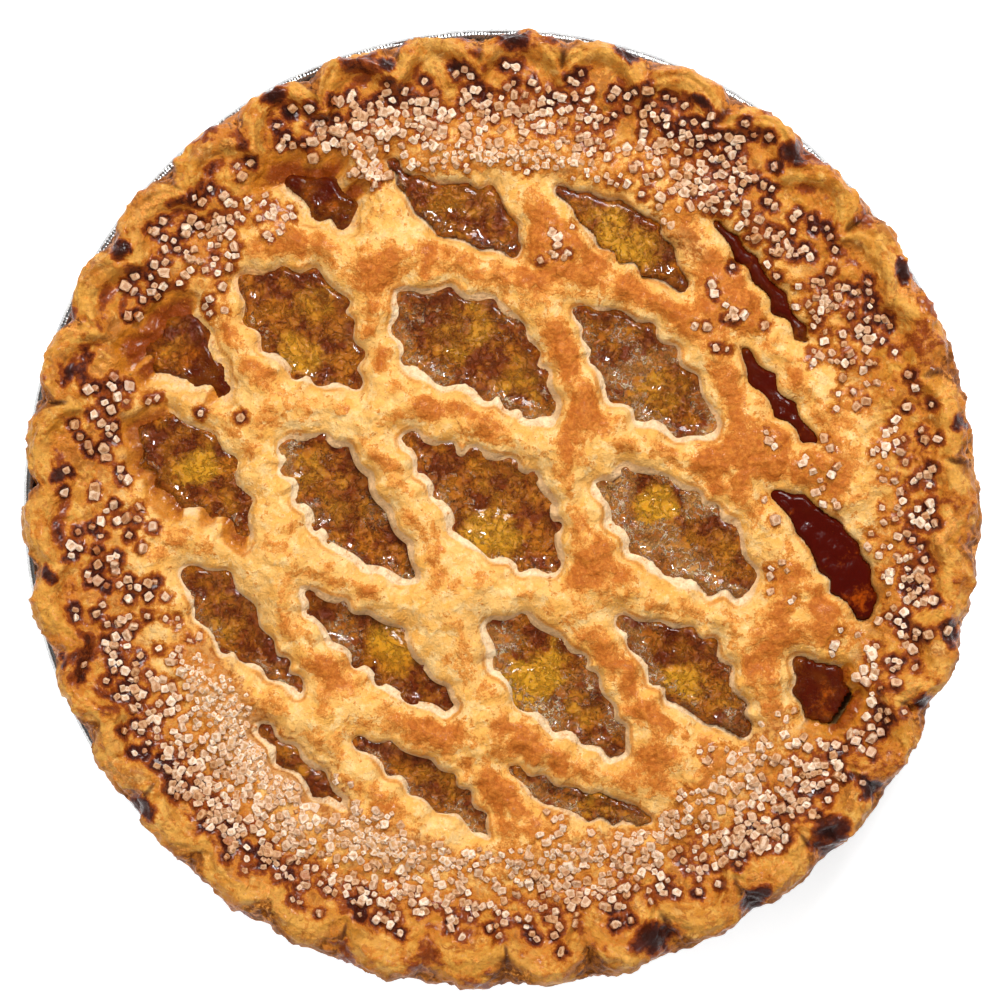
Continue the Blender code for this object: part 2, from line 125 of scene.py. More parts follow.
# Browned patches on the lattice: x, y, radius, strength
BROWNED = (
    (9, 54, 8, 1), (22, 50, 7, 0.8), (31, 45, 7, 0.9), (50, 43, 7, 1), (44, 48, 6, 0.7),
    (-23, 46, 6, 0.7), (-42, 56, 6, 0.5), (-11, 51, 6, 0.6), (1, 46, 6, 0.6), (14, 31, 7, 0.8),
    (17, 22, 6, 0.8), (-13, 21, 6, 0.5), (-5, 17, 6, 0.6), (-55, 40, 5, 0.6), (-26, 33, 5, 0.5),
    (-60, 37, 5, 0.6), (-34, -19, 5, 0.4), (47, 8, 8, 0.9), (56, 11, 7, 0.9), (67, 8, 7, 0.8),
    (53, 23, 6, 0.8), (68, -22, 7, 0.9), (31, -31, 7, 0.8), (21, -12, 6, 0.6), (19, -34, 6, 0.8),
    (30, -43, 6, 0.8), (-32, -34, 6, 0.9), (-17, -50, 7, 0.8), (1, -61, 7, 1), (6, -51, 6, 0.7),
    (-5, -57, 5, 0.6), (13, -55, 5, 0.7), (62, -21, 6, 0.8), (57, -30, 5, 0.7), (30, -55, 5, 0.6),
    (40, -12, 5, 0.5), (-56, 12, 5, 0.4), (-22, -3, 5, 0.35),
)

# Mango chunks that show: x, y, size, turn in degrees, rise towards the lattice from 0 to 1
CHUNKS = (
    (-38, 64, 9, 20, 0.2), (-11, 60, 17, 35, 0.3), (26, 54.5, 19, -32, 0.8), (-40, 42.5, 12, 60, 0.5),
    (-42.5, 31.5, 12, -20, 0.85), (-7, 36, 18, 25, 0.55), (5, 26, 13, -20, 0.5), (34, 22.5, 14, 30, 0.6),
    (26, 35, 9, 0, 0.15), (-68, 31.5, 12, 40, 0.55), (-64.5, 7.5, 12, 15, 0.9), (-57, -1, 9, 60, 0.15),
    (-41, 6.5, 10, 30, 0.6), (-32, 0, 17, 60, 0.4), (-2, -6.5, 15, 20, 0.9), (2, 5, 15, 10, 0.3),
    (33.5, -0.3, 11, 20, 1), (44, -9, 17, -30, 0.2), (76, -20, 9, 0, 0.1), (-57, -24, 14, 60, 0.35),
    (-22.5, -31, 12, -40, 1), (-14, -38, 10, 10, 0.2), (7.5, -37.5, 16, 20, 1), (17, -43, 12, 45, 0.4),
    (39, -38, 11, 0, 0.85), (48, -41, 10, 0, 0.25), (68, -41, 10, 20, 0.2), (-12, -59, 12, -30, 0.3),
    (20, -63, 13, 10, 0.6), (-42, -55, 8, 0, 0.3),
)

# Where the sugar lies: direction, half width, inner and outer radius, size, crystals
SUGAR = (
    (114, 14, 75, 92, 0.85, 430), (88, 17, 75, 91, 0.8, 340), (60, 14, 75, 95, 0.8, 310),
    (31, 15, 74, 91, 0.75, 180), (-9, 14, 80, 96, 0.8, 180), (-32, 11, 78, 95, 0.85, 280),
    (-50, 11, 77, 95, 0.85, 310), (-76, 17, 76, 93, 0.8, 350), (-104, 15, 76, 92, 0.75, 280),
    (-133, 19, 76, 92, 0.78, 900), (-163, 14, 75, 93, 0.85, 130), (172, 14, 70, 94, 0.9, 90),
    (140, 14, 74, 93, 0.85, 160), (10, 12, 80, 94, 0.8, 50), (-88, 30, 74, 82, 0.65, 200),
    (-134, 18, 68, 77, 0.58, 700), (89, 17, 71, 76, 0.6, 130), (-110, 14, 73, 79, 0.65, 150),
    (-62, 20, 72, 79, 0.6, 120), (112, 10, 72, 78, 0.6, 80),
)

# Crusts of melted fine sugar: direction, half width, radius, half depth, strength
MELTED = (
    (-137, 21, 72, 5.5, 1.3), (-108, 12, 76, 4.5, 0.95), (88, 18, 73.5, 3.2, 0.9), (56, 8, 68, 4, 0.6),
    (-45, 12, 75, 4, 0.6), (-75, 14, 75, 3.5, 0.6), (108, 10, 76, 4, 0.5), (178, 14, 72, 3, 0.4),
)

# Single crystals and small groups on the lattice strips: x, y, spread, crystals
STRIP_SUGAR = (
    (13, 55, 5, 12), (49, 41, 7, 16), (68, 10, 6, 12), (57, 14, 4, 5), (-60, 44, 6, 10),
    (60, -18, 6, 9), (-47, 62, 5, 14), (70, 2, 4, 6), (60, 58, 5, 12), (50, -52, 7, 14),
    (-58, 20, 4, 6), (34, 58, 4, 10), (58, 0, 4, 5), (12, -73, 8, 26), (-30, -68, 8, 30),
)

# Burnt spots on the rim: direction, radius, size
BURNT = (
    (119, 98, 2.2), (118, 93.5, 1.6), (-45, 99, 3.3), (-70.5, 97.5, 3.5), (88, 98, 2.6), (50, 96.5, 2.4),
    (74, 98.5, 2), (-158, 96, 1.5), (-160, 97.5, 1.2), (-139, 98.5, 2), (104, 95.5, 1.6), (-16, 99, 2.2),
    (-25, 98.5, 1.8), (-38, 99, 2), (30, 98.5, 2), (10, 98.5, 1.6), (95, 93, 1.6), (-57, 99.5, 2.6),
    (63, 95, 1.5), (146, 96, 1.6), (163, 95, 1.8), (176, 93, 1.4), (-171, 96, 1.6),
)


# Noise


def hashed(cell, seed):
    """A number from 0 to 1 for each whole-number cell."""
    n = cell[:, 0] * 374761393 + cell[:, 1] * 668265263 + cell[:, 2] * 2147483629 + seed * 1274126177
    n = (n ^ (n >> 13)) * 1103515245
    n = (n ^ (n >> 16)) * 12345871
    n = n ^ (n >> 15)
    return (n & 0xFFFFF) / 0xFFFFF


def noise(points, size, seed):
    """Gradient noise from about -1 to 1, with lumps of about the given size."""
    spot = points / size + seed * 7.13
    low = np.floor(spot)
    inside = spot - low
    low = low.astype(np.int64)
    fade = inside**3 * (inside * (inside * 6 - 15) + 10)
    total = np.zeros(len(points))
    for corner in range(8):
        step = np.array([corner & 1, corner >> 1 & 1, corner >> 2 & 1])
        turn = hashed(low + step, seed) * tau
        lift = hashed(low + step, seed + 101) * 2 - 1
        flat = np.sqrt(1 - lift**2)
        away = inside - step
        slope = away[:, 0] * flat * np.cos(turn) + away[:, 1] * flat * np.sin(turn) + away[:, 2] * lift
        weight = np.abs(1 - step - fade).prod(1)
        total += weight * slope
    return total * 1.6


def layered(points, size, layers, seed):
    return sum(noise(points, size / 2**layer, seed + layer) / 2**layer for layer in range(layers))


def ease(low, high, value):
    """From 0 to 1 as the value goes from low to high."""
    share = np.clip((value - low) / (high - low), 0, 1)
    return share * share * (3 - 2 * share)


def bell(value):
    return np.exp(-(value**2))


# Forms shared by the pieces


def polar(x, y):
    return np.hypot(x, y), np.arctan2(y, x)


def flat_points(x, y):
    return np.stack([x, y, 0 * x], 1)


def flute_phase(angle):
    drift = FLUTE_DRIFT * (1 + np.cos(angle + radians(30)))
    return pi * (np.degrees(angle) - FLUTE_START + drift) * FLUTES / 360


def crease_share(x, y):
    """Where the rim's inward folds crease: the relief dips there, and the colour is darkened there as painted
    shade.
    """
    radius, angle = polar(x, y)
    bend = 0.25 * noise(flat_points(x, y), 5, 118)
    line = bell((np.cos(flute_phase(angle)) + bend) / 0.17)
    line *= ease(-0.5, 0.3, noise(ring_spots(angle), 12, 119))
    beyond = radius - ridge_radius(angle)
    return line * ease(-2.5, 1.5, beyond) * ease(5.5, 3, beyond)


def flute_wave(angle):
    """From -1 at a flute's inner fold to 1 at its outer lobe."""
    degrees = np.degrees(angle)
    phase = flute_phase(angle)
    strength = np.ones_like(angle)
    for middle, width, lost in PRESSED:
        strength = strength - lost * bell((degrees - middle) / width)
    fold = np.sqrt(np.cos(phase) ** 2 + 0.012)
    return strength * (2 * fold**0.8 - 1)


def ring_spots(angle):
    return flat_points(RIDGE_RADIUS * np.cos(angle), RIDGE_RADIUS * np.sin(angle))


def ridge_radius(angle):
    spots = ring_spots(angle)
    swing = FLUTE_DEPTH * flute_wave(angle) * (1 + 0.5 * noise(spots, 30, 111))
    return RIDGE_RADIUS + swing + 0.9 * noise(spots, 13, 112)


def ridge_top(angle):
    return RIDGE_TOP + 0.9 * noise(ring_spots(angle), 14, 113) - 0.3


def foot_radius(angle):
    lean = RIM_LEAN * np.cos(angle - radians(RIM_LEAN_ANGLE))
    knuckles = 0.5 + 0.9 * bell(np.degrees(np.arctan2(np.sin(-angle), -np.cos(angle))) / 45)
    spots = ring_spots(angle)
    uneven = 0.4 * np.sin(3 * angle + 1) + 0.6 * layered(spots, 9, 2, 116)
    return RIM_FOOT_RADIUS + lean + knuckles * flute_wave(angle) + uneven


def dome(radius):
    share = np.minimum(radius / SHEET_RADIUS, 1.0)
    return SHEET_CENTRE_TOP - (SHEET_CENTRE_TOP - SHEET_EDGE_TOP) * share**2


def crust_height(x, y):
    """The pastry's top before its relief."""
    radius, angle = polar(x, y)
    floor = dome(radius) + POCKET_RISE * ease(78, 92, radius)
    away = np.abs(radius - ridge_radius(angle)) / RIDGE_HALF_WIDTH
    return floor + (ridge_top(angle) - floor) * np.exp(-(away**2.6))


def curve_through(controls, steps):
    """Points along a Catmull-Rom curve from the second control point to the last but one."""
    made = []
    for a, b, c, d, count in zip(controls, controls[1:], controls[2:], controls[3:], steps):
        bend, twist = 2 * a - 5 * b + 4 * c - d, 3 * b - a - 3 * c + d
        for t in np.linspace(0, 1, count, endpoint=False):
            made.append(0.5 * (2 * b + (c - a) * t + bend * t**2 + twist * t**3))
    return np.array(made + [controls[-2]])


def smooth_loop(points, spacing):
    """Evenly spaced points along a closed curve, the way to each and the whole way."""
    points = np.reshape(points, (-1, 2)).astype(float)
    closed = curve_through(np.concatenate([points[-1:], points, points[:2]]), [16] * len(points))
    walked = np.concatenate([[0], np.cumsum(np.hypot(*np.diff(closed, axis=0).T))])
    count = max(12, round(walked[-1] / spacing))
    wanted = np.linspace(0, walked[-1], count, endpoint=False)
    loop = np.stack([np.interp(wanted, walked, side) for side in closed.T], 1)
    return loop, wanted, walked[-1]


def scalloped(points, seed):
    """A hole's outline in rounded bumps, and each point's share of a notch."""
    rng = np.random.default_rng(seed)
    loop, walked, total = smooth_loop(points, 0.35)
    along = np.roll(loop, -1, 0) - np.roll(loop, 1, 0)
    along /= np.hypot(*along.T)[:, None]
    outwards = np.stack([-along[:, 1], along[:, 0]], 1)
    bumps = max(3, round(total / SCALLOP_PITCH))
    ends = np.cumsum(np.concatenate([[0], rng.uniform(0.6, 1.4, bumps)]))
    phase = np.interp(walked / total, ends / ends[-1], np.arange(bumps + 1))
    depth = rng.uniform(0.1, 1.3, bumps + 1)
    depth = np.interp(phase, np.arange(bumps + 1), np.append(depth[:-1], depth[0]))
    notch = 1 - np.abs(np.sin(pi * phase)) ** 1.1
    return loop + (1.15 * depth * notch - 0.5 * depth)[:, None] * SCALLOP_DEPTH * outwards, notch


OUTLINES = [scalloped(hole[4], seed) for seed, hole in enumerate(HOLES)]

# A point by the nearest hole's edge: the distance and way out from it, the cut wall's width, the
# share of a notch and the hole's number
Edge = namedtuple("Edge", "distance way wall notch number")


def inside_outline(x, y, outline):
    inside = np.zeros(len(x), bool)
    for (ax, ay), (bx, by) in zip(outline, np.roll(outline, -1, 0)):
        if ay != by:
            inside ^= ((ay > y) != (by > y)) & (x < (bx - ax) * (y - ay) / (by - ay) + ax)
    return inside


# The direction, out from a hole, in which its cut walls face away from the light: there they are narrow, and
# their colour is darkened to a greyish tan as painted shade
SHADED_WAY = np.array([0.7, 0.7])


def hole_distance(x, y, reach=9.0):
    """The Edge of each point, as far as the given reach."""
    spots = np.stack([x, y], 1)
    found = np.tile([reach, 0, 0, 1, 0, 0], (len(x), 1))
    for number, (hole, (outline, notch)) in enumerate(zip(HOLES, OUTLINES)):
        along = np.roll(outline, -1, 0) - outline
        near = (spots > outline.min(0) - reach) & (spots < outline.max(0) + reach)
        near = np.flatnonzero(near.all(1))
        for part in np.array_split(near, max(1, len(near) // 4000)):
            spot = spots[part]
            share = ((spot[:, None] - outline) * along).sum(2) / (along**2).sum(1)
            gap = spot[:, None] - (outline + np.clip(share, 0, 1)[..., None] * along)
            length = np.hypot(gap[..., 0], gap[..., 1])
            nearest = length.argmin(1)
            rows = np.arange(len(part))
            least = length[rows, nearest]
            sign = np.where(inside_outline(*spot.T, outline), -1, 1)
            way = sign[:, None] * gap[rows, nearest] / np.maximum(least, 1e-6)[:, None]
            rimward = (way * spot).sum(1) / np.maximum(np.hypot(*spot.T), 1e-6)
            wall = hole[0] * (1.15 - 0.2 * ease(-0.4, 0.5, way @ SHADED_WAY))
            wall *= 1 + 1.3 * hole[3] * ease(-0.2, 0.7, rimward)
            here = np.column_stack([sign * least, way, wall, notch[nearest], 0 * rows + number])
            closer = here[:, 0] < found[part, 0]
            found[part[closer]] = here[closer]
    distance, _, _, wall, notch, number = found.T
    wall = np.maximum(wall * (1 + 0.5 * noise(flat_points(x, y), 5, 55)), 0.3)
    return Edge(distance, found[:, 1:3], wall, notch, number.astype(int))


# Meshes and materials


def make_mesh(name, points, faces):
    """A smooth-shaded object from points in millimetres."""
    mesh = bpy.data.meshes.new(name)
    mesh.from_pydata((np.asarray(points) * MM).tolist(), [], faces)
    mesh.update()
    mesh.shade_smooth()
    obj = bpy.data.objects.new(name, mesh)
    bpy.context.scene.collection.objects.link(obj)
    return obj


def paint(obj, **shares):
    """Stores what a material reads at each point: nought past the given ones."""
    for name, values in shares.items():
        padded = np.zeros(len(obj.data.vertices), np.float32)
        padded[: len(values)] = values
        obj.data.attributes.new(name, "FLOAT", "POINT").data.foreach_set("value", padded)


def show_piece(obj, node, material):
    obj.data.materials.append(material)
    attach(obj, "root")
    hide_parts(node)


class Nodes:
    """A material's node tree, built by calls that return output sockets."""

    def __init__(self, name):
        self.material = bpy.data.materials.new(name)
        self.material.use_nodes = True
        self.tree = self.material.node_tree
        self.shader = self.tree.nodes["Principled BSDF"]
        self.place = self.add("TexCoord", {})["Object"]

    def put(self, socket, value):
        if isinstance(value, bpy.types.NodeSocket):
            self.tree.links.new(value, socket)
        else:
            socket.default_value = (*value, 1) if socket.type == "RGBA" else value

    def add(self, kind, values, **settings):
        """The outputs of a new node with these values and settings."""
        node = self.tree.nodes.new("ShaderNode" + kind)
        for key, value in settings.items():
            setattr(node, key, value)
        for key, value in values.items():
            self.put(node.inputs[key], value)
        return node.outputs

    def attribute(self, name):
        return self.add("Attribute", {}, attribute_name=name)["Fac"]

    def noise(self, size, detail=3, roughness=0.5, warp=0):
        """Noise with lumps of the given size in millimetres."""
        values = {"Scale": 1 / (size * MM), "Detail": detail, "Roughness": roughness}
        return self.add("TexNoise", {"Vector": self.place, "Distortion": warp, **values})["Fac"]

    def math(self, operation, a, b=0):
        return self.add("Math", {0: a, 1: b}, operation=operation)[0]

    def plus(self, a, b):
        return self.math("ADD", a, b)

    def minus(self, a, b):
        return self.math("SUBTRACT", a, b)

    def times(self, a, b):
        return self.math("MULTIPLY", a, b)

    def frayed(self, name, grain, amount):
        """An attribute with an uneven border."""
        return self.plus(self.attribute(name), self.times(grain, amount))

    def stretch(self, value, low, high, to_low=0, to_high=1):
        values = {"Value": value, "From Min": low, "From Max": high, "To Min": to_low, "To Max": to_high}
        return self.add("MapRange", values, interpolation_type="SMOOTHSTEP")["Result"]

    def mix(self, share, a, b):
        return self.add("Mix", {"Factor": share, "A": a, "B": b}, data_type="RGBA")["Result"]

    def blend(self, value, low, high, a, b, most=1):
        """Two colours mixed as a value goes from low to high."""
        return self.mix(self.stretch(value, low, high, 0, most), a, b)

    def shade(self, color, share):
        return self.add("VectorMath", {0: color, "Scale": share}, operation="SCALE")[0]

    def bump(self, height, depth, under=None):
        """A bump of the given depth in millimetres, over another one if given."""
        values = {"Height": height, "Distance": depth * MM}
        return self.add("Bump", {**values, "Normal": under} if under else values)["Normal"]

    def finish(self, color, roughness, normal=None, **numbers):
        numbers.update(Base_Color=color, Roughness=roughness)
        if normal:
            numbers["Normal"] = normal
        for key, value in numbers.items():
            self.put(self.shader.inputs[key.replace("_", " ")], value)
        return self.material


def pastry_material(name):
    """Baked pastry: a ground colour and the coats that lie on it in turn."""
    n = Nodes(name)
    mottle = n.noise(5, 5, 0.6, 0.4)
    fine = n.noise(1.3, 5, 0.7, 0.3)
    grain = n.noise(0.45, 3, 0.6)
    jitter = n.minus(fine, 0.5)
    patchy = n.plus(n.times(jitter, 1.7), n.minus(n.noise(3.2, 4, 0.65, 0.6), 0.5))
    patchy = n.plus(patchy, n.times(n.minus(n.noise(0.8, 3, 0.6, 0.5), 0.5), 0.8))
    pale = n.blend(mottle, 0.35, 0.65, (0.87, 0.49, 0.145), (0.82, 0.39, 0.075))
    pale = n.blend(n.noise(2.6, 4, 0.7), 0.47, 0.62, pale, (0.9, 0.6, 0.25), 0.85)
    tan = n.blend(mottle, 0.4, 0.56, (0.68, 0.33, 0.055), (0.54, 0.2, 0.018))
    tan = n.blend(n.noise(8, 6, 0.7, 0.8), 0.49, 0.58, tan, (0.37, 0.11, 0.01))
    tan = n.blend(n.noise(3, 5, 0.7, 0.5), 0.54, 0.68, tan, (0.82, 0.46, 0.13), 0.8)
    golden = n.blend(fine, 0.35, 0.65, (0.7, 0.335, 0.055), (0.6, 0.25, 0.032))
    tan = n.blend(n.plus(n.attribute("band"), jitter), 0.2, 0.8, tan, golden, 0.8)
    tanned = n.attribute("tan")
    # Dark brown for the outer pockets, the outer wall and the folds' creases: partly the pastry's browning,
    # partly painted shade in the folds.
    deep = n.blend(fine, 0.4, 0.6, (0.16, 0.04, 0.004), (0.4, 0.125, 0.014))
    light_brown = n.blend(grain, 0.35, 0.65, (0.66, 0.24, 0.036), (0.8, 0.36, 0.078))
    dark_brown = n.blend(fine, 0.38, 0.62, (0.43, 0.105, 0.011), (0.62, 0.2, 0.028))
    speckle = n.stretch(n.noise(0.9, 3, 0.75, 0.6), 0.5, 0.59, 0, 0.75)
    cream = n.blend(fine, 0.35, 0.65, (0.9, 0.69, 0.43), (0.8, 0.51, 0.26))
    # Painted shade: on cut walls that face away from the light the cream turns to a darker tan.
    cream = n.mix(n.attribute("shaded"), cream, (0.72, 0.44, 0.21))
    sugared = n.blend(fine, 0.42, 0.6, (0.6, 0.265, 0.065), (0.37, 0.1, 0.012))
    frost = n.blend(fine, 0.4, 0.62, (0.73, 0.39, 0.15), (0.5, 0.205, 0.05))
    brown = n.plus(n.attribute("brown"), patchy)
    glaze = n.frayed("glaze", jitter, 0.8)
    melt = n.frayed("melt", jitter, 0.9)
    # Caramel round the crystals and in pooled syrup, with painted shade added in the hollows of the slope.
    caramel = n.frayed("caramel", patchy, 0.7)
    color = n.mix(tanned, pale, tan)
    for share, low, high, most, coat in (
        (n.noise(1.9, 5, 0.72, 0.5), 0.555, 0.63, n.times(tanned, 0.75), (0.36, 0.095, 0.01)),
        (n.frayed("deep", patchy, 0.8), 0.35, 1, 1, deep),
        (brown, 0.28, 0.42, 1, light_brown),
        (brown, 0.55, 0.85, 1, dark_brown),
        (brown, 0.2, 0.6, speckle, (0.47, 0.12, 0.012)),
        (n.attribute("line"), 0.2, 0.8, 0.75, (0.62, 0.22, 0.035)),
        (n.frayed("cut", jitter, 1.3), 0.25, 0.75, 1, cream),
        (glaze, 0.05, 0.5, 0.9, (0.52, 0.165, 0.009)),
        (glaze, 0.5, 1, 0.9, (0.2, 0.024, 0.001)),
        (melt, 0.25, 0.65, 1, sugared),
        (melt, 0.65, 1, 1, frost),
        (caramel, 0.12, 0.36, 1, (0.54, 0.175, 0.018)),
        (caramel, 0.36, 0.66, 1, (0.25, 0.046, 0.005)),
        (caramel, 0.7, 1.1, 1, (0.055, 0.007, 0.002)),
    ):
        color = n.blend(share, low, high, color, coat, most)
    # Near black for the burnt spots, and along the folds' creases as painted shade.
    color = n.mix(n.attribute("burnt"), color, (0.03, 0.006, 0.003))
    color = n.shade(color, n.stretch(n.noise(0.8, 4, 0.7), 0.3, 0.7, 0.9, 1.12))
    wet = n.math("MAXIMUM", caramel, n.attribute("glaze"))
    roughness = n.plus(n.stretch(wet, 0.1, 0.6, 0.46, 0.16), n.times(jitter, 0.3))
    normal = n.bump(fine, 0.5, n.bump(n.noise(3.2, 4, 0.6, 0.4), 0.9))
    normal = n.bump(grain, 0.12, normal)
    coat = n.stretch(wet, 0.1, 0.6, 0.03, 0.22)
    return n.finish(color, roughness, normal, Specular_IOR_Level=0.15, Coat_Weight=coat, Coat_Roughness=0.08)


def filling_material():
    n = Nodes("mango_filling_gel")
    swirl = n.noise(4.2, 5, 0.62, 0.25)
    fine = n.noise(1, 4, 0.6, 0.2)
    strands = n.noise(2, 4, 0.6, 0.4)
    around = n.minus(strands, 0.5)
    ridges = n.math("ABSOLUTE", n.minus(n.noise(1.5, 3, 0.6, 0.4), 0.5))
    # Thin lines for the foam's strands and for painted glints on the wet gel.
    web = n.stretch(ridges, 0, 0.05, 1, 0)
    uneven = n.plus(n.times(n.minus(swirl, 0.5), 1.8), n.times(n.minus(fine, 0.5), 0.9))
    chunk = n.plus(n.attribute("chunk"), uneven)
    ripe = n.plus(n.attribute("ripe"), uneven)
    gel = n.blend(swirl, 0.4, 0.62, (0.17, 0.027, 0.001), (0.42, 0.125, 0.006))
    fruit = n.blend(strands, 0.3, 0.7, (0.48, 0.19, 0.012), (0.3, 0.082, 0.004))
    color = n.blend(chunk, 0.1, 0.9, gel, fruit)
    color = n.blend(ripe, 0.2, 1, color, (0.66, 0.3, 0.014), 0.85)
    # Painted shadow: the gel darkened under the hole edges that face away from the light.
    color = n.blend(n.attribute("brink"), 0.3, 1, color, (0.13, 0.018, 0.001), 0.6)
    foam = n.blend(strands, 0.35, 0.65, (0.62, 0.3, 0.078), (0.34, 0.1, 0.012))
    foamy = n.stretch(n.frayed("foam", around, 2.4), 0.35, 0.85)
    foamy = n.times(foamy, n.stretch(n.attribute("foam"), 0.1, 0.4))
    color = n.mix(n.times(foamy, 0.8), color, foam)
    # Whitish streaks in the foam: partly foam strands, partly painted glints of the wet gel.
    webbed = n.times(web, n.times(foamy, n.stretch(n.noise(3, 3), 0.38, 0.58)))
    color = n.mix(webbed, color, (0.95, 0.76, 0.52))
    jam = n.attribute("jam")
    smooth = n.minus(1, jam)
    color = n.mix(jam, color, n.blend(chunk, 0.2, 0.9, (0.06, 0.0022, 0.0002), (0.46, 0.075, 0.002)))
    wrinkles = n.stretch(n.math("ABSOLUTE", around), 0, 0.06)
    grit = n.times(n.plus(fine, n.times(web, foamy)), n.plus(0.3, smooth))
    normal = n.bump(grit, 0.45, n.bump(n.times(wrinkles, smooth), 0.6))
    return n.finish(
        color, n.stretch(fine, 0.3, 0.7, 0.06, 0.18), normal,
        Subsurface_Weight=0.2, Subsurface_Radius=(1, 0.3, 0.03), Subsurface_Scale=0.0025,
        Specular_IOR_Level=n.stretch(jam, 0, 1, 0.18, 0.06),
        Coat_Weight=n.stretch(jam, 0, 1, 0.38, 0.2), Coat_Roughness=0.03,
    )


def sugar_material():
    n = Nodes("sugar_crystals")
    fine = n.noise(0.7, 4, 0.65)
    jitter = n.minus(fine, 0.5)
    tint = n.attribute("tint")
    core = n.mix(tint, (0.68, 0.43, 0.26), (0.38, 0.15, 0.045))
    core = n.mix(n.attribute("frost"), core, (0.64, 0.33, 0.13))
    pale = n.mix(tint, (0.93, 0.73, 0.55), (0.6, 0.31, 0.135))
    # Paler at the bevelled edges: partly the milky sugar, partly painted highlights on the crystals' rims.
    color = n.blend(n.frayed("edge", jitter, 1.6), 0.55, 1.05, core, pale)
    color = n.blend(n.frayed("stain", jitter, 0.7), 0.25, 0.8, color, (0.36, 0.095, 0.016))
    return n.finish(
        color, n.stretch(fine, 0.3, 0.7, 0.12, 0.4), n.bump(fine, 0.25), Specular_IOR_Level=0.4,
        Subsurface_Weight=0.15, Subsurface_Radius=(1, 0.6, 0.35), Subsurface_Scale=0.001,
    )


def foil_material():
    n = Nodes("rolled_foil")
    creases = n.noise(3.2, 5, 0.6, 0.3)
    fine = n.noise(0.5, 3, 0.6)
    along = n.add("SeparateXYZ", {0: n.place})
    turn = n.plus(n.math("ARCTAN2", along["Y"], along["X"]), n.times(creases, 0.015))
    ticks = n.math("SINE", n.times(turn, 900))
    color = n.blend(creases, 0.3, 0.7, (0.56, 0.56, 0.55), (0.42, 0.42, 0.43))
    # Painted shade in the grooves between the wall's ribs.
    color = n.blend(n.attribute("valley"), 0, 1, color, (0.17, 0.17, 0.18), 0.75)
    # Painted shade: the flange in the gap under the crust's edge is darkened to a dark brown.
    baked = n.frayed("baked", n.minus(creases, 0.5), 1.2)
    color = n.blend(baked, 0.3, 0.8, color, (0.085, 0.04, 0.014))
    # Painted shade: a thin dark line along the bead's groove.
    color = n.mix(n.attribute("groove"), color, (0.22, 0.215, 0.21))
    normal = n.bump(fine, 0.05, n.bump(ticks, 0.035, n.bump(creases, 0.06)))
    return n.finish(color, n.stretch(fine, 0.3, 0.7, 0.18, 0.34), normal, Metallic=0.9)


# Sugar places


def melt_share(x, y):
    """Where fine sugar has melted into a pale crust."""
    radius, angle = polar(x, y)
    share = np.zeros(len(x))
    for middle, width, place, depth, strength in MELTED:
        around = (np.degrees(angle) - middle) / width
        share = np.maximum(share, strength * np.exp(-(around**4) - ((radius - place) / depth) ** 2))
    return np.clip(share, 0, 1)


def sugar_places():
    """Plan positions and sizes of the crystals."""
    rng = np.random.default_rng(7)
    spots, sizes = [], []
    for middle, width, inner, outer, size, count in SUGAR:
        angle = np.radians(middle + rng.normal(0, 0.5, count) * width)
        radius = inner + (outer - inner) * np.clip(rng.normal(0.5, 0.27, count), -0.1, 1.15)
        spots.append(np.stack([radius * np.cos(angle), radius * np.sin(angle)], 1))
        sizes.append(size * rng.uniform(0.65, 1.2, count))
    for x, y, spread, count in STRIP_SUGAR:
        spots.append(np.array([x, y]) + rng.normal(0, 0.5, (count, 2)) * spread)
        sizes.append(rng.uniform(0.5, 1.0, count))
    spots, sizes = np.concatenate(spots), CRYSTAL_SIZE * np.concatenate(sizes)
    edge = hole_distance(*spots.T)
    radius, angle = polar(*spots.T)
    beyond = radius - ridge_radius(angle)
    on_ridge = (np.abs(beyond) < 2.2) & (rng.random(len(spots)) < 0.85)
    outside = (beyond > 2.2) & (rng.random(len(spots)) < 0.6)
    sparse = layered(flat_points(*spots.T), 6, 2, 33) < rng.uniform(-0.9, 0.3, len(spots))
    dropped = on_ridge | outside | (sparse & (radius > 77)) | (edge.distance <= edge.wall + 0.8)
    kept = []
    for i in np.flatnonzero(~dropped):
        gaps = np.hypot(*(spots[kept] - spots[i]).T)
        if (gaps >= 0.33 * (sizes[kept] + sizes[i])).all():
            kept.append(i)
    return spots[kept], sizes[kept]


SUGAR_SPOTS, SUGAR_SIZES = sugar_places()


def caramel_shares():
    """How dark the pastry is burnt round each crystal."""
    radius, angle = polar(*SUGAR_SPOTS.T)
    degrees = np.degrees(angle)
    ridge = ease(82, 91, radius)
    share = 0.48 + 0.22 * bell((degrees - 95) / 40) + 0.6 * ridge
    share += 0.7 * bell((np.abs(degrees) - 168) / 26) + 0.45 * bell((degrees - 40) / 22)
    share -= 0.35 * bell((degrees + 128) / 30) * (1 - ridge)
    share *= 1 - 0.6 * melt_share(*SUGAR_SPOTS.T)
    own = np.random.default_rng(23).random(len(radius))
    return np.clip(share * (0.6 + 0.6 * own), 0, 1.2)


def spread_of(x, y, spots, shares, reach):
    """The strongest of soft round stains at the spots, from a raster."""
    cell, half = 0.25, 105
    raster = np.zeros((int(2 * half / cell),) * 2)
    steps = ceil(2.2 * reach / cell)
    window = np.arange(-steps, steps + 1)
    for spot, share in zip(spots, shares):
        column, row = ((spot + half) / cell).astype(int)
        dx, dy = ((at + window + 0.5) * cell - half - middle for at, middle in zip((column, row), spot))
        stain = share * np.exp(-((dx[None] ** 2 + dy[:, None] ** 2) / reach**2) ** 1.5)
        block = raster[row - steps : row + steps + 1, column - steps : column + steps + 1]
        np.maximum(block, stain, out=block)
    i, j = (np.clip((at + half) / cell, 0, len(raster) - 1).astype(int) for at in (x, y))
    return raster[j, i]


# Crust


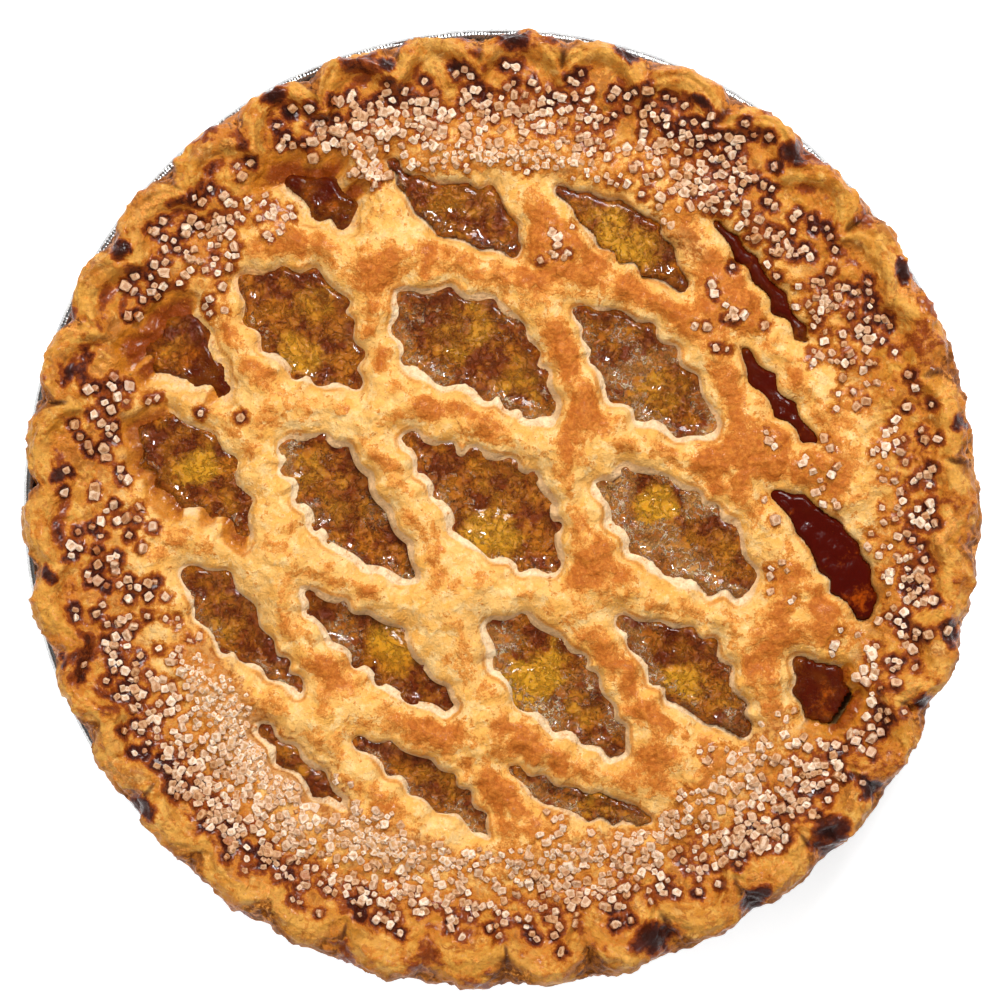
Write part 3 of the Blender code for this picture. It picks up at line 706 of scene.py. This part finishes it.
def relief(points):
    """Uneven pastry: lumps, flakes, blisters and crumb."""
    uneven = 0.75 * layered(points, 14, 2, 3) + 0.42 * layered(points, 4.5, 2, 9)
    fine = 0.12 * noise(points, 1.5, 14)
    blisters = 0.35 * ease(0.2, 0.6, noise(points, 3.4, 21))
    flake = noise(points, 11, 24) + 0.4 * noise(points, 3, 25)
    flakes = 0.38 * (ease(-0.02, 0.05, flake) + ease(0.28, 0.35, flake))
    x, y, _ = points.T
    folds = (1 - np.abs(layered(points, 7, 2, 31)) * 2.2) ** 3
    folds = 0.5 * np.clip(folds, 0, 1) * ease(80, 88, np.hypot(x, y))
    return uneven + fine + blisters + flakes - 0.45 - folds - 1.1 * crease_share(x, y)


def pastry_attributes(obj, points, edge):
    """Paints what the pastry material reads."""
    x, y, _ = points.T
    radius, angle = polar(x, y)
    beyond = radius - ridge_radius(angle)
    wave = flute_wave(angle)
    slope = ease(76, 86, radius)
    away = edge.distance - edge.wall
    walls = edge.distance / edge.wall
    on_strip = ease(0.6, 3.2, away)
    medium = layered(points, 4.5, 2, 9)
    lumps = 0.35 * layered(points, 14, 2, 3) + 0.45 * medium
    brown = np.zeros(len(x))
    for bx, by, size, strength in BROWNED:
        brown = np.maximum(brown, strength * bell(np.hypot(x - bx, y - by) / (1.1 * size)))
    brown *= 0.85 + 0.9 * layered(points, 5, 2, 44)
    spotty = 0.27 + 0.52 * layered(points, 7, 3, 41) + 0.6 * lumps
    brown = (1.55 * brown + 0.3 * lumps) * (0.3 + 0.7 * on_strip) + spotty * (1 - slope) * on_strip
    brown += slope * (0.06 + 0.4 * layered(points, 9, 3, 47))
    crease = crease_share(x, y)
    # Browner outside the ridge, in the pockets at the inward folds and along the creases: partly browning,
    # partly painted shade in the folds and creases.
    deep = ease(1.5, 4.0, beyond) * ease(0.5, -0.4, wave) + 0.75 * ease(2.5, 5, beyond)
    deep += 0.4 * layered(points, 6, 3, 57) - 0.03 + 0.8 * crease
    cut = 1 - ease(0.6, 1.25, walls)
    hole_glaze = np.array([hole[3] for hole in HOLES])[edge.number]
    rimward = (edge.way * np.stack([x, y], 1)).sum(1) / radius
    glaze = hole_glaze * ease(-0.1, 0.6, rimward) * (edge.distance < 8)
    bent = [0.5 * noise(points, 1.8, seed) for seed in (85, 86)]
    caramel = spread_of(x + bent[0], y + bent[1], SUGAR_SPOTS, caramel_shares(), 1.9)
    pool = bell((beyond + 4.6) / 1.8) * ease(-0.4, 0.5, wave)
    pool *= ease(-0.4, 0.5, layered(points, 9, 2, 61))
    dark = ease(0.1, 0.8, layered(points, 8, 3, 65)) * ease(79, 88, radius)
    pool = np.maximum(pool, dark) * (0.76 + 0.24 * np.cos(angle - 2.6))
    # Painted shade: the hollows of the sugared slope are given the caramel's darker colour.
    hollow = ease(0.05, -0.55, medium) * slope
    caramel = np.maximum(caramel + 0.3 * hollow, pool) * (1 - cut)
    # The folds' creases are painted near black as painted shade; the burnt spots from the table are the
    # pastry's own.
    burnt = 0.7 * ease(0.45, 0.95, crease)
    ragged = 1.6 * layered(points, 4, 3, 71)
    for direction, spot_radius, size in BURNT:
        turn = (np.radians(direction) - angle + pi) % tau - pi
        gap = np.hypot(turn * spot_radius, 1.4 * (radius - spot_radius)) + ragged
        burnt = np.maximum(burnt, ease(size, size * 0.3, gap))
        caramel = np.maximum(caramel, 1.1 * ease(size * 2.0, size * 0.9, gap))
    paint(
        obj,
        brown=np.clip(brown, 0, 1.2),
        band=bell(beyond / 3) * ease(-0.5, 0.3, noise(points, 10, 4)),
        tan=np.clip(slope * 0.9 + 0.15 * ease(0.1, 0.6, noise(points, 18, 5)), 0, 1),
        deep=np.clip(deep * ease(86, 92, radius), 0, 1.1),
        glaze=glaze * (1 - ease(0.3, 1.7, walls)),
        cut=cut * (1 - glaze) * (1 - 0.5 * hole_glaze),
        # Painted shade: how far a cut wall faces away from the light.
        shaded=ease(-0.35, 0.4, edge.way @ SHADED_WAY),
        line=bell((away - 0.35) / 0.4) * ease(-0.2, 0.4, noise(points, 8, 51)),
        melt=graininess(x, y) * (1 - cut),
        burnt=burnt,
        caramel=np.clip(caramel, 0, 1.3),
    )


def graininess(x, y):
    """Where fine sugar lies, melted or as a haze between crystals."""
    radius, angle = polar(x, y)
    haze = np.zeros(len(x))
    for middle, width, inner, outer, _, count in SUGAR:
        across = bell((radius - 0.5 * (inner + outer)) / (0.42 * (outer - inner)))
        along = bell((np.degrees(angle) - middle) / width)
        haze = np.maximum(haze, min(1, count / (width * 8)) * across * along)
    return np.maximum(melt_share(x, y), 0.5 * haze)


def edge_drop(edge):
    """How far the pastry falls towards a hole."""
    wall_share = np.clip(edge.distance / edge.wall, 0, 1)
    shoulder = np.clip((edge.distance - edge.wall) / 3.2, 0, 1)
    return 1.3 * (1 - wall_share**1.2) + 1.4 * (1 - np.sqrt(1 - (1 - shoulder) ** 2))


def crust_top(x, y, edge):
    """The pastry's finished height, the same for each piece."""
    base = crust_height(x, y)
    flat = np.stack([x, y, base], 1)
    away = np.maximum(edge.distance - edge.wall, 0)
    puff = 1.1 * (1 - bell(away / 4)) - edge.notch * bell(away / 3.4)
    puff *= 1 - ease(76, 86, np.hypot(x, y))
    grains = graininess(x, y) * (0.25 + 0.45 * noise(flat, 1.5, 81) + 0.3 * noise(flat, 0.9, 82))
    return base + relief(flat) + puff - edge_drop(edge) + grains


def underside(points, edges, keep):
    """Triangles that face down between a sheet's border loops, where keep says so."""
    used, packed = np.unique(edges, return_inverse=True)
    spots = [Vector(spot) for spot in points[used, :2].tolist()]
    made = delaunay_2d_cdt(spots, packed.reshape(-1, 2).tolist(), [], 0, 1e-6)
    corners = np.array([spot[:] for spot in made[0]])
    source = np.array([origin[0] if origin else -1 for origin in made[3]])
    triangles = np.array(made[2])
    triangles = triangles[(source[triangles] >= 0).all(1)]
    middle = corners[triangles].mean(1)
    triangles = triangles[keep(middle[:, 0], middle[:, 1])]
    return used[source[triangles]][:, ::-1]


def square_cells(radius, cell):
    """Points and quads of a square grid over a disc."""
    steps = ceil(radius / cell) + 2
    line = np.arange(-steps, steps + 1) * cell
    x, y = np.stack(np.meshgrid(line, line)).reshape(2, -1)
    side = len(line)
    low = np.arange(side * side).reshape(side, side)[:-1, :-1].ravel()
    return x, y, np.stack([low, low + 1, low + side + 1, low + side], 1)


def boundary_of(quads):
    """Directed border edges of a patch of quads."""
    edges = np.concatenate([quads[:, [i, (i + 1) % 4]] for i in range(4)])
    span = edges.max() + 1
    return edges[~np.isin(edges @ [span, 1], edges @ [1, span])]


def pick(quads, wanted):
    """The quads whose corners are all wanted, renumbered, and their points."""
    quads = quads[wanted[quads].all(1)]
    used, packed = np.unique(quads, return_inverse=True)
    return packed.reshape(-1, 4), used


def closed_body(name, top, quads, lowered, keep):
    """A sheet of quads with a skirt down to its border's lowered points and an underside."""
    edges = boundary_of(quads)
    rim = np.unique(edges)
    lower = np.full(len(top), -1)
    lower[rim] = len(top) + np.arange(len(rim))
    skirt = np.stack([edges[:, 1], edges[:, 0], lower[edges[:, 0]], lower[edges[:, 1]]], 1)
    below = lower[underside(top, edges, keep)]
    faces = quads.tolist() + skirt.tolist() + below.tolist()
    return make_mesh(name, np.concatenate([top, lowered(top[rim])]), faces)


def ring_quads(rows, columns):
    """Quads of a grid that is closed both ways."""
    index = np.arange(rows * columns).reshape(rows, columns)
    beside = np.roll(index, -1, 1)
    return np.stack([index, np.roll(index, -1, 0), np.roll(beside, -1, 0), beside], 2)


def profile_rings(angle, profile):
    """Radius and height of each ring of a profile at each angle."""
    return np.array([np.broadcast_arrays(r, z, angle)[:2] for r, z in profile])


def ring_points(angle, radius, height):
    return np.stack([radius * np.cos(angle), radius * np.sin(angle), height], 2)


def make_lattice():
    seam = SEAM_RADIUS + 0.25
    x, y, quads = square_cells(SEAM_RADIUS + 1, GRID)
    edge = hole_distance(x, y)
    quads, used = pick(quads, np.minimum(edge.distance, seam - np.hypot(x, y)) > -0.3 * GRID)
    plan = np.stack([x, y], 1)[used]
    edge = Edge(*(part[used] for part in edge))
    rim = np.unique(boundary_of(quads))
    at_hole = rim[edge.distance[rim] < 2 * GRID]
    at_seam = np.setdiff1d(rim, at_hole)
    plan[at_seam] *= (seam / np.hypot(*plan[at_seam].T))[:, None]
    plan[at_hole] -= edge.way[at_hole] * edge.distance[at_hole, None]
    edge.distance[at_hole] = 0
    top = np.column_stack([plan, crust_top(*plan.T, edge)])

    def lowered(spots):
        under = dome(np.hypot(*spots[:, :2].T)) - SHEET_THICKNESS + 0.2
        return np.column_stack([spots[:, :2], np.minimum(spots[:, 2] - 0.6, under)])

    def outside_holes(x, y):
        return hole_distance(x, y, 1.0).distance > 0

    crust = closed_body("lattice_pastry", top, quads, lowered, outside_holes)
    pastry_attributes(crust, top, edge)
    show_piece(crust, "lattice_crust", pastry_material("lattice_pastry"))
    return crust


def make_rim():
    columns = 1300
    angle = np.linspace(-pi, pi, columns, endpoint=False)
    crest, foot, top = ridge_radius(angle), foot_radius(angle), ridge_top(angle)
    inner_rows = 31
    share = np.linspace(0, 1, inner_rows - 1)[:, None]
    radius = (SEAM_RADIUS - 0.1) * (1 - share) + crest * share
    radius = np.concatenate([radius[:1] - 0.5, radius])
    x, y = (radius * np.cos(angle)).ravel(), (radius * np.sin(angle)).ravel()
    inner = crust_top(x, y, hole_distance(x, y)).reshape(radius.shape)
    inner[0] -= 0.4
    lobe = np.clip(0.5 + (crest - RIDGE_RADIUS) / (2 * FLUTE_DEPTH), 0, 1)
    fold = 1 - lobe
    room = foot - crest
    outer = profile_rings(angle, [
        (crest, top),
        (crest + fold * 2.3 + lobe * 0.5 * room, top - 1.1),
        (crest + fold * 4.2 + lobe * 0.85 * room, 38.6 - 1.2 * fold),
        (foot - 1.2 * fold, 35.9),
        (foot + 0.1, 33.9),
        (foot - 0.4, 31.8),
        (foot - 2.2, 31.4),
        (96.4, 32.6),
        (SEAM_RADIUS, 33),
    ])
    outer = np.concatenate([2 * outer[:1] - outer[1:2], outer, 2 * outer[-1:] - outer[-2:-1]])
    outer = curve_through(outer, (7, 7, 7, 6, 4, 3, 4, 6))[1:]
    points = ring_points(angle, np.concatenate([radius, outer[:, 0]]), np.concatenate([inner, outer[:, 1]]))
    around = np.roll(points, -1, 1) - np.roll(points, 1, 1)
    normal = np.cross(around, np.gradient(points, axis=0))
    normal /= np.maximum(np.linalg.norm(normal, axis=2, keepdims=True), 1e-9)
    rows = len(points)
    row = np.arange(rows)
    flat = points.reshape(-1, 3)
    outside = ease(inner_rows - 1, inner_rows + 5, row) * ease(rows - 4, rows - 12, row)
    flakes = 0.4 * layered(flat * np.array([1, 1, 2.2]), 4.5, 3, 91)
    bumps = (relief(flat) + flakes).reshape(rows, columns) * outside[:, None]
    fade = ease(inner_rows + 4, inner_rows - 1, row)[:, None] * (row[:, None] >= inner_rows)
    points[..., 2] += fade * (inner[-1] - top)
    points = points + normal * bumps[..., None]
    points[..., 2] = np.maximum(points[..., 2], 31.3)
    spots = points.reshape(-1, 3)
    rim = make_mesh("fluted_rim", spots, ring_quads(rows, columns).reshape(-1, 4).tolist())
    pastry_attributes(rim, spots, hole_distance(*spots[:, :2].T))
    show_piece(rim, "lattice_crust", pastry_material("fluted_rim"))
    return rim


# Filling


def make_filling():
    x, y, quads = square_cells(FILLING_RADIUS, 0.6)
    quads, used = pick(quads, np.hypot(x, y) < FILLING_RADIUS)
    x, y = x[used], y[used]
    edge = hole_distance(x, y)
    shaded = edge.way @ SHADED_WAY
    _, jammed, foamy, _ = np.array([hole[:4] for hole in HOLES])[edge.number].T
    roof = dome(np.hypot(x, y))
    under = roof - SHEET_THICKNESS
    gel = under - GEL_DROP
    flat = np.stack([x, y, gel], 1)
    chunk_share, ripe_share = np.zeros((2, len(x)))
    height = gel + 0.5 * layered(flat, 9, 3, 5)
    for i, (cx, cy, size, turn, rise) in enumerate(CHUNKS):
        spin = radians(turn)
        u = (x - cx) * cos(spin) + (y - cy) * sin(spin)
        v = (y - cy) * cos(spin) - (x - cx) * sin(spin)
        wobble = 1 + 0.25 * layered(flat, 7, 2, 200 + i)
        box = ((np.abs(u) / (0.5 * size)) ** 3 + (np.abs(v) / (0.4 * size)) ** 3) ** (1 / 3) * wobble
        tilt = 0.05 * (u * cos(i) + v * sin(i))
        chunk = gel - 1.2 + (2.2 + 2 * rise) * np.sqrt(np.clip(1 - box**3, 0, 1)) + tilt
        height = np.maximum(height, chunk)
        inside = ease(1.3, 0.4, box)
        chunk_share = np.maximum(chunk_share, inside * (0.2 + 0.8 * rise))
        ripe_share = np.maximum(ripe_share, inside * rise**2)
    creep = bell(edge.distance / 1.5) * (0.4 + 0.6 * ease(-0.4, 0.5, noise(flat, 5, 17)))
    height += 0.6 * creep * (1 - 0.6 * jammed)
    height = np.minimum(height + 0.3 * layered(flat, 2.6, 2, 15), roof - 0.9)
    hidden = np.minimum(height, under + 0.7 - ease(0.2, 1.4, edge.distance))
    top = np.stack([x, y, np.where(edge.distance > 0.2, hidden, height)], 1)

    def lowered(spots):
        scale = (TIN_BASE_RADIUS - 6) / np.hypot(*spots[:, :2].T)
        return np.column_stack([spots[:, :2] * scale[:, None], np.full(len(spots), 5.0)])

    filling = closed_body("mango_gel", top, quads, lowered, lambda x, y: x < np.inf)
    foam = foamy * (0.25 + 0.75 * ease(-0.3, 0.4, noise(flat, 9, 25))) * (1 - 0.6 * chunk_share)
    # The gel along the lit side of a hole's edges gets extra pale foam: partly foam, partly painted light.
    foam += 0.35 * (foamy > 0) * bell(edge.distance / 2.2) * (shaded < 0.1)
    jam = ease(-0.25, 0.25, jammed - 0.5 + 0.5 * noise(flat, 12, 28)) * jammed**0.5
    # Painted shadow that a hole's edges facing away from the light cast on the gel.
    brink = bell(edge.distance / 3) * ease(-0.3, 0.6, shaded) * ease(-0.7, 0.3, noise(flat, 5, 29))
    foam = np.clip(foam, 0, 1) * (1 - jam)
    paint(filling, chunk=chunk_share, ripe=ripe_share, foam=foam, jam=jam, brink=brink)
    show_piece(filling, "mango_filling", filling_material())


# Sugar


def crystal_shape():
    """A unit cube with bevelled edges and a point in the middle of each side."""
    shape = bmesh.new()
    bmesh.ops.create_cube(shape, size=1)
    bmesh.ops.bevel(shape, geom=shape.edges[:], offset=0.19, segments=1, affect="EDGES")
    sides = [face for face in shape.faces if face.calc_area() > 0.3]
    middles = bmesh.ops.poke(shape, faces=sides)["verts"]
    # The share of a crystal's edge, painted paler in the material: partly milky sugar, partly painted
    # highlight.
    edge = np.array([vertex not in middles for vertex in shape.verts], float)
    points = np.array([vertex.co[:] for vertex in shape.verts])
    faces = [[vertex.index for vertex in face.verts] for face in shape.faces]
    shape.free()
    return points, faces, edge


def make_sugar(ground):
    """All crystals as one mesh, each set a little into the pastry."""
    rng = np.random.default_rng(19)
    trees = []
    for piece in ground:
        corners = [vertex.co[:] for vertex in piece.data.vertices]
        trees.append(BVHTree.FromPolygons(corners, [face.vertices[:] for face in piece.data.polygons]))
    cube, cube_faces, edge = crystal_shape()
    low = ease(0.15, -0.45, cube[:, 2])
    points, tints, frosts, stains = [], [], [], []
    shares, melted = caramel_shares(), melt_share(*SUGAR_SPOTS.T)
    for spot, size, share, frost in zip(SUGAR_SPOTS, SUGAR_SIZES, shares, melted):
        start = Vector((*(spot * MM), 0.08))
        hits = [tree.ray_cast(start, Vector((0, 0, -1)), 0.06) for tree in trees]
        hits = [hit for hit in hits if hit[0] is not None]
        if not hits:
            continue
        place, normal, _, _ = max(hits, key=lambda hit: hit[0].z)
        up = np.array(normal) + rng.normal(0, 0.22, 3)
        up /= np.linalg.norm(up)
        turn = rng.random() * tau
        side = np.cross(up, [cos(turn), sin(turn), 0.1])
        side /= np.linalg.norm(side)
        scale = size * rng.uniform((0.75, 0.75, 0.55), (1.2, 1.05, 0.85))
        shape = (cube + rng.normal(0, 0.075, cube.shape)) * scale
        middle = np.array(place) / MM + up * scale[2] * (rng.uniform(-0.1, 0.28) - 0.15 * frost)
        points.append(shape @ np.stack([side, np.cross(up, side), up]) + middle)
        tint = rng.uniform(0, 0.2) if rng.random() < 0.28 else rng.uniform(0.4, 1)
        tints.append(tint * (1 - 0.3 * frost))
        frosts.append(frost)
        stains.append(np.clip(low * (1 - 0.6 * frost) + 0.35 * share - 0.15 + rng.normal(0, 0.15), 0, 0.95))
    count, each = len(points), len(cube)
    faces = [[i + number * each for i in face] for number in range(count) for face in cube_faces]
    sugar = make_mesh("sugar_crystals", np.concatenate(points), faces)
    sugar.data.shade_flat()
    tint, frost = np.repeat(tints, each), np.repeat(frosts, each)
    paint(sugar, edge=np.tile(edge, count), tint=tint, frost=frost, stain=np.concatenate(stains))
    show_piece(sugar, "lattice_crust", sugar_material())


# Foil tin


def make_tin():
    """Pressed foil with a ribbed wall, a flange and a rolled bead."""
    columns = 1296
    angle = np.linspace(-pi, pi, columns, endpoint=False)
    rib = 0.5 + 0.5 * np.cos(RIBS * angle)
    rib = rib**1.5 * (0.85 + 0.15 * np.sin(7 * angle))
    out = 1.1 * rib
    bead_x = BEAD_OUTER_RADIUS - BEAD_RADIUS
    bead_z = TIN_HEIGHT - TIN_WALL
    crinkle = 0.04 * np.sin(RIBS * 4 * angle + 2 * np.sin(9 * angle)) + 0.05 * np.sin(31 * angle)
    low, high = TIN_BASE_RADIUS, TIN_MOUTH_RADIUS
    inside = [
        (0.5, TIN_WALL),
        (low - 3, TIN_WALL),
        (low - 0.8, 0.9),
        (low + 0.1 * out, 1.9),
        *((low + up * (high - low) + out, 2 + up * 26) for up in (0.15, 0.5, 0.9)),
        (high - 0.4 + 0.35 * out, TIN_HEIGHT - 1.6),
        (high + 0.9, TIN_HEIGHT),
        (bead_x - BEAD_RADIUS - 0.8, TIN_HEIGHT + 0.5 * crinkle),
    ]
    bead = []
    for degrees in (150, 110, 85, 73, 61, 30, -10, -50, -90, -130, -165):
        turn = radians(degrees)
        thick = BEAD_RADIUS + crinkle * (degrees > -100) - 0.14 * (degrees == 73)
        bead.append((bead_x + thick * cos(turn), bead_z + thick * sin(turn)))
    outside = []
    for r, z in inside[::-1]:
        middle = np.mean(r)
        outside.append((r + TIN_WALL * (middle > low - 2), z - TIN_WALL * (1 if middle < high - 8 else 0.8)))
    profile = profile_rings(angle, inside + bead + outside)
    points = ring_points(angle, profile[:, 0], profile[:, 1])
    points[..., 2] = np.maximum(points[..., 2], 0)
    rows = len(points)
    quads = ring_quads(rows, columns)[:-1].reshape(-1, 4).tolist()
    quads += [list(range(columns)), list(range(rows * columns - 1, (rows - 1) * columns - 1, -1))]
    tin = make_mesh("foil_pan", points.reshape(-1, 3), quads)
    tin.data.set_sharp_from_angle(angle=radians(50))
    away = np.hypot(points[..., 0], points[..., 1]).ravel()
    flange = points[..., 2].ravel() > TIN_HEIGHT - 1.5
    wall = ease(low - 2, low + 2, away) * ease(high + 1, high - 2, away)
    # Painted shade in the rib grooves, in the flange's gap under the crust and in the bead's groove.
    paint(
        tin,
        baked=ease(90, 93, away) * ease(99.2, 98.5, away) * flange,
        valley=wall * (1 - np.tile(rib, rows)),
        groove=bell((away - 100.15) / 0.13),
    )
    show_piece(tin, "foil_tin", foil_material())


def dress_bottom_crust():
    n = Nodes("shell_pastry")
    color = n.blend(n.noise(6, 4, 0.6), 0.3, 0.7, (0.72, 0.4, 0.14), (0.6, 0.27, 0.07))
    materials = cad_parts["bottom_crust"].data.materials
    materials.clear()
    materials.append(n.finish(color, 0.6, n.bump(n.noise(1.5, 4), 0.2)))


# Stage


def make_stage():
    bpy.ops.mesh.primitive_plane_add(size=6, location=(0, 0, 0))
    floor = bpy.context.object
    floor.name = "floor"
    n = Nodes("pale_floor")
    glow = {"Emission_Color": (1, 1, 1), "Emission_Strength": 0.6}
    floor.data.materials.append(n.finish((0.93, 0.93, 0.93), 0.9, Specular_IOR_Level=0.1, **glow))


def area_light(name, place, size, power):
    light = bpy.data.lights.new(name, "AREA")
    light.shape = "DISK"
    light.size = size
    light.energy = power
    lamp = bpy.data.objects.new(name, light)
    bpy.context.scene.collection.objects.link(lamp)
    lamp.location = place
    lamp.rotation_euler = (-Vector(place)).to_track_quat("-Z", "Y").to_euler()
    return lamp


def make_light_and_camera():
    scene = bpy.context.scene
    scene.view_settings.view_transform = "Standard"
    scene.view_settings.look = "None"
    world = bpy.data.worlds.new("studio")
    world.use_nodes = True
    background = world.node_tree.nodes["Background"]
    background.inputs["Color"].default_value = (1, 1, 1, 1)
    background.inputs["Strength"].default_value = 0.2
    scene.world = world
    area_light("key", (0.32, 0.8, 0.98), 0.45, 15)
    area_light("glints", (0.1, 0.52, 1.3), 0.12, 5)
    area_light("fill", (-0.7, -0.4, 1.1), 0.8, 7).visible_glossy = False
    camera = bpy.data.cameras.new("camera")
    view = bpy.data.objects.new("camera", camera)
    scene.collection.objects.link(view)
    view.location = (0.00032, 0.00074, 1.5)
    camera.lens = camera.sensor_width * (1.5 - 0.03) / 0.2126
    scene.camera = view


def main():
    lattice = make_lattice()
    rim = make_rim()
    make_filling()
    make_sugar([lattice, rim])
    make_tin()
    dress_bottom_crust()
    make_stage()
    make_light_and_camera()


main()
